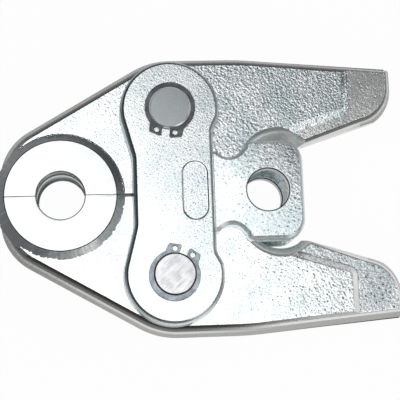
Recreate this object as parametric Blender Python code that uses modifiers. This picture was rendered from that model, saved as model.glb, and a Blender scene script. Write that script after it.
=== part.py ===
# Press fitting jaw: two forged jaw levers on pivot pins between a pair of forged side plates.
# Metres, +Z up. The jaw lies on its rear pin ends, nose towards -X, tails towards +X.

import math

import bmesh
import bpy
from mathutils import Matrix, Vector

mm = 0.001

# Pivots, die and hanger bore, measured from the line through the pins
pin_offset = 27.9 * mm
pin_radius = 7.0 * mm
pin_chamfer = 0.5 * mm
die_reach = 37.0 * mm
hanger_reach = 32.3 * mm
hanger_radius = 7.1 * mm
opening_angle = math.radians(12)

# Levers
lever_half_thickness = 6.7 * mm
forging_draft = math.radians(22)
forging_crown_radius = 5.4 * mm
crown_end = math.radians(55)
nose_stock = 20.5 * mm
nose_radius = 19.0 * mm
back_height = 48.0 * mm
back_slope = math.radians(30.2)
back_line_height = 29.9 * mm
shoulder_radius = 26.0 * mm
tail_reach = 78.2 * mm
tail_drop = 4.7 * mm
tail_depth = 16.79 * mm
back_flat = 30.9 * mm
tail_drop_radius = 90.0 * mm
tail_corner_radius = 5.2 * mm
flank_height = 17.4 * mm
flank_start = 48.4 * mm
flank_stock = 1.7 * mm
machining_allowance = 1.0 * mm
flank_tip_radius = 16.6 * mm
seat_radius = 11.4 * mm
seat_end = math.radians(42)
seat_lead = math.radians(18)
seat_start = math.radians(205)
split_gap = 0.3 * mm
web_gap = 1.0 * mm
web_start = 17.0 * mm
relief_start = 4.0 * mm

# Roller pads: the thinner faces of the tails
pad_depth = 0.8 * mm
pad_length = 15.8 * mm
pad_band = 4.6 * mm
pad_corner_radius = 4.0 * mm
pad_fillet = 3.2 * mm

# Die boss and press contour
boss_face_radius = 18.85 * mm
boss_foot_radius = 21.4 * mm
boss_half_thickness = 9.2 * mm
nose_margin = 0.05 * mm
fillet_margin = 0.1 * mm
contour_radius = 8.0 * mm
contour_groove_depth = 0.9 * mm
contour_ridge_depth = 0.3 * mm
contour_chamfer = 1.15 * mm
contour_land = 0.9 * mm
contour_slope = 0.55 * mm
contour_ridge_half_width = 1.0 * mm

# Side plates
plate_gap = 0.3 * mm
tab_thickness = 4.4 * mm
pad_thickness = 6.3 * mm
head_radius = 17.0 * mm
waist_left = 13.2 * mm
waist_right = 14.6 * mm
waist_left_height = 11.5 * mm
waist_right_height = 20.5 * mm
waist_shoulder = 24.5 * mm
waist_left_radius = 9.0 * mm
waist_right_radius = 3.0 * mm
plate_draft = math.radians(5)
plate_crown_radius = 2.6 * mm
plate_crown_end = math.radians(60)
tab_stock = 12.5 * mm
tab_half_width = 17.2 * mm
tab_corner_radius = 7.6 * mm
notch_reach = 19.6 * mm
notch_radius = 4.9 * mm
notch_half_turn = math.radians(55)
notch_corner_radius = 2.4 * mm
neck_half_width = 11.8 * mm
field_reach = 7.7 * mm
field_half_width = 4.4 * mm
field_half_length = 10.0 * mm
field_depth = 0.4 * mm
field_clearance = 0.7 * mm

# Retaining rings, their grooves and the pin ends
pin_play = 0.15 * mm
ring_thickness = 1.0 * mm
ring_seat_gap = 0.3 * mm
ring_play = 0.15 * mm
ring_inner_radius = 6.85 * mm
groove_radius = 6.7 * mm
ring_back_width = 1.95 * mm
ring_front_width = 1.25 * mm
ring_lug_reach = 9.9 * mm
ring_lug_half_width = 1.75 * mm
ring_lug_taper = 0.9 * mm
ring_lug_corner = 0.6 * mm
ring_lug_blend = math.radians(16)
ring_hole_radius = 0.8 * mm
ring_hole_reach = 8.55 * mm
ring_gap_half_width = 1.35 * mm
pin_end = 0.9 * mm
upper_ring_turns = (math.radians(-101), math.radians(-60))
lower_ring_turns = (math.radians(67), math.radians(120))

# Return spring between the levers
spring_reach = 13.0 * mm
spring_radius = 2.75 * mm
spring_wire = 1.1 * mm
spring_turns = 8
spring_pocket_play = 0.35 * mm
spring_pocket_end = 12.0 * mm
spring_end_gap = 0.3 * mm

# Facets
bore_segments = 44
pocket_segments = 24
hole_segments = 16
arc_step = math.radians(9)
crown_facets = 2
fillet_facets = 4
spring_steps = 12
least_straight = 0.3 * mm
smooth_angle = math.radians(30)
weld_distance = 0.002 * mm

# Heights and places that follow from the sizes above
plate_inner = lever_half_thickness + plate_gap
pad_face = plate_inner + pad_thickness
ring_bottom = pad_face + ring_seat_gap
groove_bottom = ring_bottom - ring_play
groove_top = ring_bottom + ring_thickness + ring_play
pin_half_length = groove_top + pin_end
nose_reach = die_reach + nose_stock
centre_shift = (tail_reach - nose_reach) / 2
bore_cut = pin_radius + pin_play
tail_height = back_height - tail_drop
flank_rise = tail_height - tail_depth - flank_height
flank_slope = math.atan(flank_rise / (tail_reach - flank_start))
pad_start = tail_reach - pad_length
tab_reach = hanger_reach + tab_stock
cutter_reach = 2 * tail_reach
cutter_height = 2 * boss_half_thickness

parts = bpy.data.collections.new("press_fitting_jaw")
cutters = bpy.data.collections.new("cutters")


def clear_scene():
    for obj in list(bpy.data.objects):
        bpy.data.objects.remove(obj, do_unlink=True)
    bpy.context.scene.collection.children.link(parts)
    bpy.context.scene.collection.children.link(cutters)


def material(name, colour, roughness, metallic):
    made = bpy.data.materials.new(name)
    made.use_nodes = True
    shader = made.node_tree.nodes["Principled BSDF"]
    shader.inputs["Base Color"].default_value = (*colour, 1.0)
    shader.inputs["Roughness"].default_value = roughness
    shader.inputs["Metallic"].default_value = metallic
    made.diffuse_color = (*colour, 1.0)
    return made


# Outlines

def half_corner(places, i):
    """Half of the angle between the two sides that meet at a corner."""
    before = places[i - 1] - places[i]
    after = places[(i + 1) % len(places)] - places[i]
    return before.angle(after) / 2


def fitted_reach(places, reaches, i):
    """How far a corner's arc reaches along its sides, which it shares with its neighbours' arcs."""
    after = (i + 1) % len(places)
    side_before = (places[i - 1] - places[i]).length - least_straight
    side_after = (places[after] - places[i]).length - least_straight
    share_before = side_before / (reaches[i - 1] + reaches[i])
    share_after = side_after / (reaches[after] + reaches[i])
    return reaches[i] * min(1, share_before, share_after)


def rounded(corners):
    """Points of a closed outline through (x, y, radius) corners, with an arc at each rounded one."""
    places = [Vector((x, y)) for x, y, radius in corners]
    halves = [half_corner(places, i) for i in range(len(places))]
    reaches = [radius / math.tan(half) for (x, y, radius), half in zip(corners, halves)]
    points = []
    for i, here in enumerate(places):
        if reaches[i] == 0:
            points.append(here)
            continue
        reach = fitted_reach(places, reaches, i)
        before = (places[i - 1] - here).normalized()
        after = (places[(i + 1) % len(places)] - here).normalized()
        centre = here + (before + after).normalized() * (reach / math.cos(halves[i]))
        start = here + before * reach - centre
        sweep = start.angle_signed(here + after * reach - centre)
        steps = max(1, round(abs(sweep) / arc_step))
        for step in range(steps + 1):
            points.append(centre + Matrix.Rotation(-sweep * step / steps, 2) @ start)
    return points


def circle_points(x, y, radius, start, end):
    """Points of an arc from one angle to another."""
    steps = max(1, round(abs(end - start) / arc_step))
    angles = [start + (end - start) * step / steps for step in range(steps + 1)]
    return [Vector((x + radius * math.cos(turn), y + radius * math.sin(turn))) for turn in angles]


def about_pin(point, angle):
    """A point turned about the upper pin."""
    pivot = Vector((0, pin_offset))
    return Matrix.Rotation(angle, 2) @ (point - pivot) + pivot


# Meshes and objects

def add_object(name, mesh, collection):
    obj = bpy.data.objects.new(name, mesh)
    collection.objects.link(obj)
    return obj


def as_cutter(obj):
    obj.hide_render = True
    obj.display_type = "WIRE"
    return obj


def mesh_from(bm, name):
    bmesh.ops.recalc_face_normals(bm, faces=bm.faces)
    mesh = bpy.data.meshes.new(name)
    bm.to_mesh(mesh)
    bm.free()
    return mesh


def baked(obj, name):
    """The mesh that an object's modifiers or curve make, with its seams welded."""
    graph = bpy.context.evaluated_depsgraph_get()
    mesh = bpy.data.meshes.new_from_object(obj.evaluated_get(graph))
    bm = bmesh.new()
    bm.from_mesh(mesh)
    bmesh.ops.remove_doubles(bm, verts=bm.verts, dist=weld_distance)
    bm.to_mesh(mesh)
    bm.free()
    mesh.name = name
    bpy.data.objects.remove(obj, do_unlink=True)
    return mesh


def prism(name, outline, bottom, top, edge=0.0):
    """A flat outline as a solid between two heights, its edges rounded by a bevel inside it."""
    curve = bpy.data.curves.new(name, "CURVE")
    curve.dimensions = "2D"
    curve.fill_mode = "BOTH"
    curve.extrude = (top - bottom) / 2 - edge
    curve.bevel_depth = edge
    curve.bevel_resolution = 1
    curve.offset = -edge
    spline = curve.splines.new("POLY")
    spline.points.add(len(outline) - 1)
    for point, place in zip(spline.points, outline):
        point.co = (place[0], place[1], 0, 1)
    spline.use_cyclic_u = True
    flat = add_object(name + "_outline", curve, cutters)
    mesh = baked(flat, name)
    mesh.transform(Matrix.Translation((0, 0, (top + bottom) / 2)))
    return as_cutter(add_object(name, mesh, cutters))


def turned(name, profile, segments=bore_segments):
    """A closed profile of (radius, height) points, top to bottom, turned about Z."""
    bm = bmesh.new()
    verts = [bm.verts.new((radius, 0, height)) for radius, height in profile]
    for first, second in zip(verts, verts[1:]):
        bm.edges.new((first, second))
    mesh = bpy.data.meshes.new(name + "_profile")
    bm.to_mesh(mesh)
    bm.free()
    obj = add_object(name, mesh, cutters)
    screw = obj.modifiers.new("turn", "SCREW")
    screw.axis = "Z"
    screw.steps = segments
    screw.render_steps = segments
    screw.use_merge_vertices = True
    screw.merge_threshold = weld_distance
    return as_cutter(add_object(name, baked(obj, name), cutters))


def draft_steps(height, draft, radius, end):
    """(inset, rise) steps of a drafted wall that curves in to meet its flat face at a crease."""
    rise = radius * (math.sin(end) - math.sin(draft))
    steps = [((height - rise) * math.tan(draft), height - rise)]
    for i in range(crown_facets):
        low = draft + (end - draft) * i / crown_facets
        high = draft + (end - draft) * (i + 1) / crown_facets
        steps.append((radius * (math.cos(low) - math.cos(high)), radius * (math.sin(high) - math.sin(low))))
    return steps


def forged(name, outline, bottom, steps, closed):
    """A forged form above a flat outline: a drafted wall, a rounded edge and a flat face."""
    bm = bmesh.new()
    rim = [bm.verts.new((x, y, bottom)) for x, y in outline]
    face = bm.faces.new(rim)
    face.normal_update()
    if face.normal.z < 0:
        face.normal_flip()
    for inset, rise in steps:
        bmesh.ops.inset_individual(bm, faces=[face], thickness=inset, depth=rise, use_even_offset=True)
    if closed:
        bm.faces.new(rim)
        bmesh.ops.recalc_face_normals(bm, faces=bm.faces)
    mesh = bpy.data.meshes.new(name)
    bm.to_mesh(mesh)
    bm.free()
    return add_object(name, mesh, cutters)


def boolean(obj, cutter, operation="DIFFERENCE"):
    modifier = obj.modifiers.new(cutter.name, "BOOLEAN")
    modifier.operation = operation
    modifier.object = cutter
    modifier.solver = "EXACT"


def place(name, mesh, paint, location, rotation=(0, 0, 0)):
    """One named sub-part on its own place, shaded smooth between its sharp edges."""
    obj = add_object(name, mesh, parts)
    if not mesh.materials:
        mesh.materials.append(paint)
    mesh.shade_smooth()
    mesh.set_sharp_from_angle(angle=smooth_angle)
    obj.location = location
    obj.rotation_euler = rotation
    obj.parent = frame
    return obj


# Jaw levers

def seat_centre():
    """Middle of the lever's round seat: on the hanger bolt's axis when the jaw is fully open."""
    return about_pin(Vector((hanger_reach, 0)), opening_angle)


def flank_line(x):
    return flank_height + (x - flank_start) * math.tan(flank_slope)


def lever_wall():
    return draft_steps(lever_half_thickness, forging_draft, forging_crown_radius, crown_end)


def lever_outline():
    """The forging's outline at its parting plane, with stock left along the faces cut later."""
    stock = sum(inset for inset, rise in lever_wall()) + machining_allowance
    back_base = back_line_height - nose_stock * math.tan(back_slope)
    shoulder = (back_height - back_line_height) / math.tan(back_slope) - die_reach
    seat = seat_centre()
    back = rounded([
        (-nose_reach, -stock, 0),
        (-nose_reach, back_base, nose_radius),
        (shoulder, back_height, shoulder_radius),
        (shoulder + back_flat, back_height, tail_drop_radius),
        (tail_reach, tail_height, tail_corner_radius),
        (tail_reach, flank_line(tail_reach) - flank_stock, flank_tip_radius),
    ])
    seat_lip = circle_points(seat.x, seat.y, seat_radius, seat_end, seat_start)[0]
    seat_arc = circle_points(seat.x, seat.y, seat_radius, seat_end + seat_lead, seat_start)
    return back + [seat_lip] + seat_arc + [Vector((seat_arc[-1].x, -stock))]


def parting_cutter():
    """Everything below the upper lever's inner faces: die split, web gap and opening relief."""
    end = seat_centre().x
    relief = web_gap / 2 + (end - relief_start) * math.tan(opening_angle)
    outline = [
        Vector((-cutter_reach, split_gap / 2)),
        Vector((-web_start, split_gap / 2)),
        Vector((-web_start, web_gap / 2)),
        Vector((relief_start, web_gap / 2)),
        Vector((end, relief)),
        Vector((end, -cutter_reach)),
        Vector((-cutter_reach, -cutter_reach)),
    ]
    return prism("parting_cutter", outline, -cutter_height, cutter_height)


def flank_cutter():
    """The machined roller face of the tail: a straight ramp that runs out at the rounded tip."""
    start = seat_centre().x
    ramp = [
        Vector((start, flank_line(start))),
        Vector((start, -cutter_reach)),
        Vector((cutter_reach, -cutter_reach)),
        Vector((cutter_reach, flank_line(cutter_reach))),
    ]
    return prism("flank_cutter", ramp, -cutter_height, cutter_height)


def pad_cutters():
    """Shallow steps on both faces of the tail, round the tip and along the roller face."""
    start = seat_centre().x
    band = pad_band / math.cos(flank_slope)
    outline = rounded([
        (start, flank_line(start) + band, 0),
        (pad_start, flank_line(pad_start) + band, pad_corner_radius),
        (pad_start, cutter_reach, 0),
        (cutter_reach, cutter_reach, 0),
        (cutter_reach, -cutter_reach, 0),
        (start, -cutter_reach, 0),
    ])
    step = lever_half_thickness - pad_depth
    top = cutter_height + pad_fillet
    return [
        prism("pad_cutter_front", outline, step, top, pad_fillet),
        prism("pad_cutter_rear", outline, -top, -step, pad_fillet),
    ]


def flank_outline():
    """The outline of the lever's flat flank, a little inside its crease."""
    bm = bmesh.new()
    face = bm.faces.new([bm.verts.new((x, y, 0)) for x, y in lever_outline()])
    inset = sum(inset for inset, rise in lever_wall()) + fillet_margin
    bmesh.ops.inset_individual(bm, faces=[face], thickness=inset, use_even_offset=True)
    points = [vert.co.to_2d() for vert in face.verts]
    bm.free()
    return points


def boss():
    """The raised die boss, drafted so that its foot forms the nose."""
    foot = nose_stock - nose_margin
    profile = [
        (0, boss_half_thickness),
        (boss_face_radius, boss_half_thickness),
        (foot, 0),
        (boss_face_radius, -boss_half_thickness),
        (0, -boss_half_thickness),
    ]
    solid = turned("die_boss", profile)
    solid.location.x = -die_reach
    return solid


def boss_fillet():
    """The hollow fillet round the boss, only where the boss stands on the flat flank."""
    fillet = boss_foot_radius - boss_face_radius
    upper = [(0, boss_half_thickness)]
    for i in range(fillet_facets + 1):
        turn = math.pi / 2 * i / fillet_facets
        radius = boss_face_radius + fillet * (1 - math.cos(turn))
        upper.append((radius, boss_half_thickness - fillet * math.sin(turn)))
    profile = upper + [(radius, -height) for radius, height in reversed(upper)]
    solid = turned("boss_fillet", profile)
    solid.location.x = -die_reach
    trim = prism("fillet_trim", flank_outline(), -cutter_height, cutter_height)
    boolean(solid, trim, "INTERSECT")
    return solid


def contour_cutter():
    """The press contour through the die: chamfer, land, groove, middle ridge and the same again."""
    groove = contour_radius + contour_groove_depth
    ridge = contour_radius + contour_ridge_depth
    land_top = boss_half_thickness - contour_chamfer
    land_bottom = land_top - contour_land
    beyond = boss_half_thickness + contour_chamfer
    half = [
        (0, beyond),
        (contour_radius + 2 * contour_chamfer, beyond),
        (contour_radius, land_top),
        (contour_radius, land_bottom),
        (groove, land_bottom - contour_slope),
        (groove, contour_ridge_half_width + contour_slope),
        (ridge, contour_ridge_half_width),
    ]
    profile = half + [(radius, -height) for radius, height in reversed(half)]
    cutter = turned("contour_cutter", profile)
    cutter.location.x = -die_reach
    return cutter


def bore_cutter(name, x, y, radius, reach):
    bm = bmesh.new()
    bmesh.ops.create_cone(
        bm, cap_ends=True, segments=bore_segments, radius1=radius, radius2=radius, depth=2 * reach)
    cutter = as_cutter(add_object(name, mesh_from(bm, name), cutters))
    cutter.location = (x, y, 0)
    return cutter


def spring_pocket_cutter():
    """The blind bore in the lever's inner edge that seats the return spring."""
    radius = spring_radius + spring_wire / 2 + spring_pocket_play
    bm = bmesh.new()
    depth = 2 * spring_pocket_end
    bmesh.ops.create_cone(
        bm, cap_ends=True, segments=pocket_segments, radius1=radius, radius2=radius, depth=depth)
    cutter = as_cutter(add_object("spring_pocket_cutter", mesh_from(bm, "spring_pocket_cutter"), cutters))
    cutter.rotation_euler.x = math.pi / 2
    cutter.location = (spring_reach, 0, 0)
    return cutter


def lever_mesh():
    body = forged("lever_forging", lever_outline(), 0, lever_wall(), False)
    mirror = body.modifiers.new("mirror", "MIRROR")
    mirror.use_axis = (False, False, True)
    mirror.merge_threshold = weld_distance
    boolean(body, boss(), "UNION")
    boolean(body, boss_fillet(), "UNION")
    boolean(body, parting_cutter())
    boolean(body, flank_cutter())
    for cutter in pad_cutters():
        boolean(body, cutter)
    boolean(body, contour_cutter())
    boolean(body, bore_cutter("lever_pin_bore", 0, pin_offset, bore_cut, cutter_height))
    boolean(body, spring_pocket_cutter())
    mesh = baked(body, "jaw_lever")
    mesh.transform(Matrix.Translation((0, -pin_offset, 0)))
    return mesh


# Side plates

def pad_outline():
    """The dog-bone pad round both pins, waisted more deeply on the nose side."""
    lean = math.acos((waist_shoulder - pin_offset) / head_radius)
    top = circle_points(0, pin_offset, head_radius, math.pi / 2 - lean, math.pi / 2 + lean)
    left = rounded([
        (top[-1].x, top[-1].y, 0),
        (-waist_left, waist_left_height, waist_left_radius),
        (-waist_left, -waist_left_height, waist_left_radius),
        (top[-1].x, -top[-1].y, 0),
    ])[1:-1]
    bottom = [Vector((point.x, -point.y)) for point in reversed(top)]
    right = rounded([
        (top[0].x, -top[0].y, 0),
        (waist_right, -waist_right_height, waist_right_radius),
        (waist_right, waist_right_height, waist_right_radius),
        (top[0].x, top[0].y, 0),
    ])[1:-1]
    return top + left + bottom + right


def tab_outline():
    """The neck and tab that carry the hanger bore, with a round notch on each side of the neck."""
    centre = neck_half_width + notch_radius
    notch_side = notch_reach + notch_radius
    upper = rounded([
        (tab_reach, 0, 0),
        (tab_reach, tab_half_width, tab_corner_radius),
        (notch_side, tab_half_width, notch_corner_radius),
        (notch_side, neck_half_width, 0),
    ])[1:-1]
    down = -math.pi / 2
    upper += circle_points(notch_reach, centre, notch_radius, down + notch_half_turn, down - notch_half_turn)
    upper.append(Vector((0, upper[-1].y)))
    return upper + [Vector((point.x, -point.y)) for point in reversed(upper)]


def name_field_cutter():
    """The shallow field with round ends on the plate's pad, left bare inside its rim."""
    half = field_half_length - field_half_width
    upper = circle_points(field_reach, half, field_half_width, 0, math.pi)
    lower = circle_points(field_reach, -half, field_half_width, math.pi, 2 * math.pi)
    return prism("name_field_cutter", upper + lower, pad_face - field_depth, pad_face + field_clearance)


def plate_mesh():
    pad_wall = draft_steps(pad_thickness, plate_draft, plate_crown_radius, plate_crown_end)
    tab_wall = draft_steps(tab_thickness, plate_draft, plate_crown_radius, plate_crown_end)
    body = forged("plate_pad", pad_outline(), plate_inner, pad_wall, True)
    tab = forged("plate_tab", tab_outline(), plate_inner, tab_wall, True)
    boolean(body, as_cutter(tab), "UNION")
    for side in (1, -1):
        boolean(body, bore_cutter("plate_pin_bore", 0, side * pin_offset, bore_cut, 2 * pad_face))
    boolean(body, bore_cutter("hanger_bore", hanger_reach, 0, hanger_radius, 2 * pad_face))
    boolean(body, name_field_cutter())
    return baked(body, "side_plate")


# Pins, rings and spring

def pin_mesh():
    """A plain pin with a chamfer and a ring groove at each end."""
    half = [
        (0, pin_half_length),
        (pin_radius - pin_chamfer, pin_half_length),
        (pin_radius, pin_half_length - pin_chamfer),
        (pin_radius, groove_top),
        (groove_radius, groove_top),
        (groove_radius, groove_bottom),
        (pin_radius, groove_bottom),
    ]
    profile = half + [(radius, -height) for radius, height in reversed(half)]
    return baked(turned("pin", profile), "pivot_pin")


def ring_outline():
    """A retaining ring that tapers from its back to two lugs, opening towards +X."""
    back = ring_inner_radius + ring_back_width
    front = ring_inner_radius + ring_front_width
    outer_radius = (back + front) / 2
    outer_shift = (front - back) / 2
    lug_side = ring_gap_half_width + 2 * ring_lug_half_width
    lug_turn = math.asin(lug_side / outer_radius)
    first = lug_turn + ring_lug_blend
    outer = circle_points(outer_shift, 0, outer_radius, first, 2 * math.pi - first)
    gap_turn = math.asin(ring_gap_half_width / ring_inner_radius)
    inner = circle_points(0, 0, ring_inner_radius, 2 * math.pi - gap_turn, gap_turn)
    shoulder = math.sqrt(outer_radius ** 2 - lug_side ** 2) + outer_shift
    upper = rounded([
        (inner[-1].x, inner[-1].y, 0),
        (ring_lug_reach, ring_gap_half_width, ring_lug_corner),
        (ring_lug_reach - ring_lug_taper, lug_side, ring_lug_corner),
        (shoulder, lug_side, 0),
    ])[1:]
    lower = [Vector((point.x, -point.y)) for point in reversed(upper)]
    return inner + upper + outer + lower


def ring_mesh():
    body = prism("ring", ring_outline(), ring_bottom, ring_bottom + ring_thickness)
    hole_y = ring_gap_half_width + ring_lug_half_width
    hole_x = math.sqrt(ring_hole_reach ** 2 - hole_y ** 2)
    for side in (1, -1):
        bm = bmesh.new()
        bmesh.ops.create_cone(
            bm, cap_ends=True, segments=hole_segments, radius1=ring_hole_radius, radius2=ring_hole_radius,
            depth=4 * ring_thickness)
        hole = as_cutter(add_object("ring_hole", mesh_from(bm, "ring_hole"), cutters))
        hole.location = (hole_x, side * hole_y, ring_bottom)
        boolean(body, hole)
    return baked(body, "retaining_ring")


def spring_mesh():
    """A round wire coiled between the bottoms of the two spring pockets."""
    half = spring_pocket_end - spring_end_gap - spring_wire / 2
    steps = spring_turns * spring_steps
    curve = bpy.data.curves.new("spring", "CURVE")
    curve.dimensions = "3D"
    curve.bevel_depth = spring_wire / 2
    curve.bevel_resolution = 2
    curve.use_fill_caps = True
    spline = curve.splines.new("POLY")
    spline.points.add(steps)
    for i, point in enumerate(spline.points):
        share = i / steps
        turn = 2 * math.pi * spring_turns * share
        closing = share - math.sin(2 * math.pi * share) / (4 * math.pi)
        height = half * (2 * closing - 1)
        point.co = (spring_radius * math.cos(turn), height, spring_radius * math.sin(turn), 1)
    return baked(add_object("spring_path", curve, cutters), "return_spring")


clear_scene()
frame = bpy.data.objects.new("jaw_frame", None)
parts.objects.link(frame)
frame.location = (-centre_shift, 0, pin_half_length)

forging_finish = material("zinc_plated_forging", (0.80, 0.81, 0.82), 0.45, 0.9)
plate_finish = material("zinc_plated_plate", (0.78, 0.80, 0.80), 0.42, 0.9)
pin_finish = material("ground_steel_pin", (0.55, 0.56, 0.56), 0.35, 1.0)
ring_finish = material("phosphated_spring_steel", (0.20, 0.22, 0.25), 0.45, 0.9)
spring_finish = material("bright_spring_wire", (0.50, 0.50, 0.50), 0.35, 1.0)

flipped = (math.pi, 0, 0)
lever = lever_mesh()
place("upper_jaw_lever", lever, forging_finish, (0, pin_offset, 0))
place("lower_jaw_lever", lever, forging_finish, (0, -pin_offset, 0), flipped)
plate = plate_mesh()
place("front_side_plate", plate, plate_finish, (0, 0, 0))
place("rear_side_plate", plate, plate_finish, (0, 0, 0), flipped)
pin = pin_mesh()
ring = ring_mesh()
for side, label, turns in ((1, "upper", upper_ring_turns), (-1, "lower", lower_ring_turns)):
    height = side * pin_offset
    place(label + "_pivot_pin", pin, pin_finish, (0, height, 0))
    place(label + "_front_ring", ring, ring_finish, (0, height, 0), (0, 0, turns[0]))
    place(label + "_rear_ring", ring, ring_finish, (0, height, 0), (math.pi, 0, turns[1]))
place("return_spring", spring_mesh(), spring_finish, (spring_reach, 0, 0))
for obj in cutters.objects:
    obj.parent = frame
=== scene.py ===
import math
import random

import bmesh
import bpy
from mathutils import Matrix, Vector


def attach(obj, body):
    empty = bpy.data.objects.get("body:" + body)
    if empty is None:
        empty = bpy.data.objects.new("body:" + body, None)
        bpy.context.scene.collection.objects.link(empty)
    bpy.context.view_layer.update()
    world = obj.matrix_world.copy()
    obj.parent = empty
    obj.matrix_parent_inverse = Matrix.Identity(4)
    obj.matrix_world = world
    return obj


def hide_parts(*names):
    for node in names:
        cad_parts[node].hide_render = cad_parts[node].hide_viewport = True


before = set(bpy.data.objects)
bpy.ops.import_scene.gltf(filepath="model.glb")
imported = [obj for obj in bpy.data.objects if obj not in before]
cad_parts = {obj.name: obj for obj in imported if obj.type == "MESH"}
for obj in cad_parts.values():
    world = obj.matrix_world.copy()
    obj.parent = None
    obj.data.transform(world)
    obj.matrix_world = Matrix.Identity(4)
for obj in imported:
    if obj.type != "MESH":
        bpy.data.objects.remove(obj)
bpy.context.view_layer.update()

print("press jaw: frame loaded")

# All shapes are drawn in millimetres: x from the pin line towards the tails, y up the
# photograph, z from the levers' middle plane towards the front. toRow puts them in the frame.
layout = {
    "shift": -10.35, "lift": 15.65,     # where that origin lies in the frame
    "pinRise": 27.9, "pinRadius": 7.0, "pinPlay": 0.15,
    "dieReach": 37.0, "boltReach": 32.3, "openAngle": 12.0,
    "leverHalf": 6.7, "plateFoot": 7.0,
}
toRow = Matrix.Scale(0.001, 4) @ Matrix.Translation((layout["shift"], 0, layout["lift"]))
asDrawn = Matrix.Identity(4)
turnOver = Matrix.Rotation(math.pi, 4, "X")


# shapes that several pieces share

meshing = {
    "arcStep": 3.0,                       # degrees between the points of an arc
    "weld": 0.004, "mirrorWeld": 0.01,    # points this near to each other become one
    "breakFrom": 42.0, "breakTurns": 2,   # edges sharper than this angle are broken
    "sharpFrom": 25.0, "flatWeight": 90,  # shading: what stays sharp, and how firmly flats stay flat
    "through": 20,                        # half length of a tool that goes right through
}
tools = []


def linked(name, data):
    obj = bpy.data.objects.new(name, data)
    bpy.context.scene.collection.objects.link(obj)
    return obj


def objectFrom(bm, name):
    mesh = bpy.data.meshes.new(name)
    bm.to_mesh(mesh)
    bm.free()
    return linked(name, mesh)


def solidFrom(bm, name):
    bmesh.ops.recalc_face_normals(bm, faces=bm.faces)
    return objectFrom(bm, name)


def arc(x, y, radius, first, last, step=meshing["arcStep"]):
    # points of an arc, angles in degrees
    count = max(2, round(abs(last - first) / step))
    angles = [math.radians(first + (last - first) * i / count) for i in range(count + 1)]
    return [Vector((x + radius * math.cos(a), y + radius * math.sin(a))) for a in angles]


def rounded(corners, step=meshing["arcStep"]):
    # closed outline through (x, y, radius) corners
    points = []
    for i, (x, y, radius) in enumerate(corners):
        here = Vector((x, y))
        if not radius:
            points.append(here)
            continue
        before = (Vector(corners[i - 1][:2]) - here).normalized()
        after = (Vector(corners[(i + 1) % len(corners)][:2]) - here).normalized()
        half = before.angle(after) / 2
        centre = here + (before + after).normalized() * (radius / math.sin(half))
        start = here + before * (radius / math.tan(half)) - centre
        sweep = start.angle_signed(here + after * (radius / math.tan(half)) - centre)
        count = max(1, round(abs(math.degrees(sweep)) / step))
        for k in range(count + 1):
            points.append(centre + Matrix.Rotation(-sweep * k / count, 2) @ start)
    return points


def mirrored(points):
    return [Vector((p.x, -p.y)) for p in reversed(points)]


def slab(name, outline, low, high):
    # a flat outline raised to a plate
    bm = bmesh.new()
    base = bm.faces.new([bm.verts.new((p.x, p.y, low)) for p in outline])
    grown = bmesh.ops.extrude_face_region(bm, geom=[base])["geom"]
    raised = [item for item in grown if isinstance(item, bmesh.types.BMVert)]
    bmesh.ops.translate(bm, vec=(0, 0, high - low), verts=raised)
    return solidFrom(bm, name)


def forging(name, outline, low, steps, closed):
    # a flat outline raised through (inset, rise) steps, then closed below or mirrored there
    bm = bmesh.new()
    rim = [bm.verts.new((p.x, p.y, low)) for p in outline]
    face = bm.faces.new(rim)
    face.normal_update()
    if face.normal.z < 0:
        face.normal_flip()
    for inset, rise in steps:
        bmesh.ops.inset_individual(bm, faces=[face], thickness=inset, depth=rise, use_even_offset=True)
    if closed:
        bm.faces.new(rim)
        return solidFrom(bm, name)
    obj = objectFrom(bm, name)
    mirror = obj.modifiers.new("otherHalf", "MIRROR")
    mirror.use_axis = (False, False, True)
    mirror.merge_threshold = meshing["mirrorWeld"]
    return obj


def draftSteps(height, draft, radius, end, turns=6, land=0.0, ledge=0.12, lean=0.02):
    # (inset, rise) steps: a trimmed land, a drafted wall, and a crown that meets the face at a crease
    low, high = math.radians(draft), math.radians(end)
    wall = height - radius * (math.sin(high) - math.sin(low))
    inset = wall * math.tan(low)
    steps = [(inset, wall)]
    if land:
        steps = [(lean, land), (ledge, ledge), (inset - ledge - lean, wall - land - ledge)]
    angles = [low + (high - low) * i / turns for i in range(turns + 1)]
    return steps + [(radius * (math.cos(a) - math.cos(b)), radius * (math.sin(b) - math.sin(a)))
                    for a, b in zip(angles, angles[1:])]


def turned(name, profile, count=120):
    # a profile of (radius, height) from axis to axis, turned about z
    bm = bmesh.new()
    rings = []
    for radius, height in profile:
        if radius == 0:
            rings.append([bm.verts.new((0, 0, height))])
        else:
            points = arc(0, 0, radius, 0, 360, 360 / count)[:-1]
            rings.append([bm.verts.new((p.x, p.y, height)) for p in points])
    for above, below in zip(rings, rings[1:]):
        for i in range(count):
            j = (i + 1) % count
            corners = [above[i % len(above)], above[j % len(above)],
                       below[j % len(below)], below[i % len(below)]]
            bm.faces.new(list(dict.fromkeys(corners)))
    return solidFrom(bm, name)


def boring(name, radius, length=meshing["through"]):
    return turned(name, [(0, length), (radius, length), (radius, -length), (0, -length)])


def ragged(obj, beyond, size, slope):
    # the outer points shifted along the cone, where it runs out on a rough forging
    pick = random.Random(7)
    for vert in obj.data.vertices:
        reach = vert.co.to_2d().length
        if reach > beyond:
            shift = pick.uniform(-size, size)
            vert.co.x *= 1 + shift / reach
            vert.co.y *= 1 + shift / reach
            vert.co.z -= math.copysign(shift * slope, vert.co.z)


def bothEnds(half):
    return half + [(radius, -height) for radius, height in reversed(half)]


def moved(obj, x=0.0, y=0.0):
    obj.data.transform(Matrix.Translation((x, y, 0)))
    return obj


def cut(obj, tool, operation="DIFFERENCE"):
    step = obj.modifiers.new(tool.name, "BOOLEAN")
    step.operation = operation
    step.object = tool
    step.solver = "EXACT"
    tools.append(tool)


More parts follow.
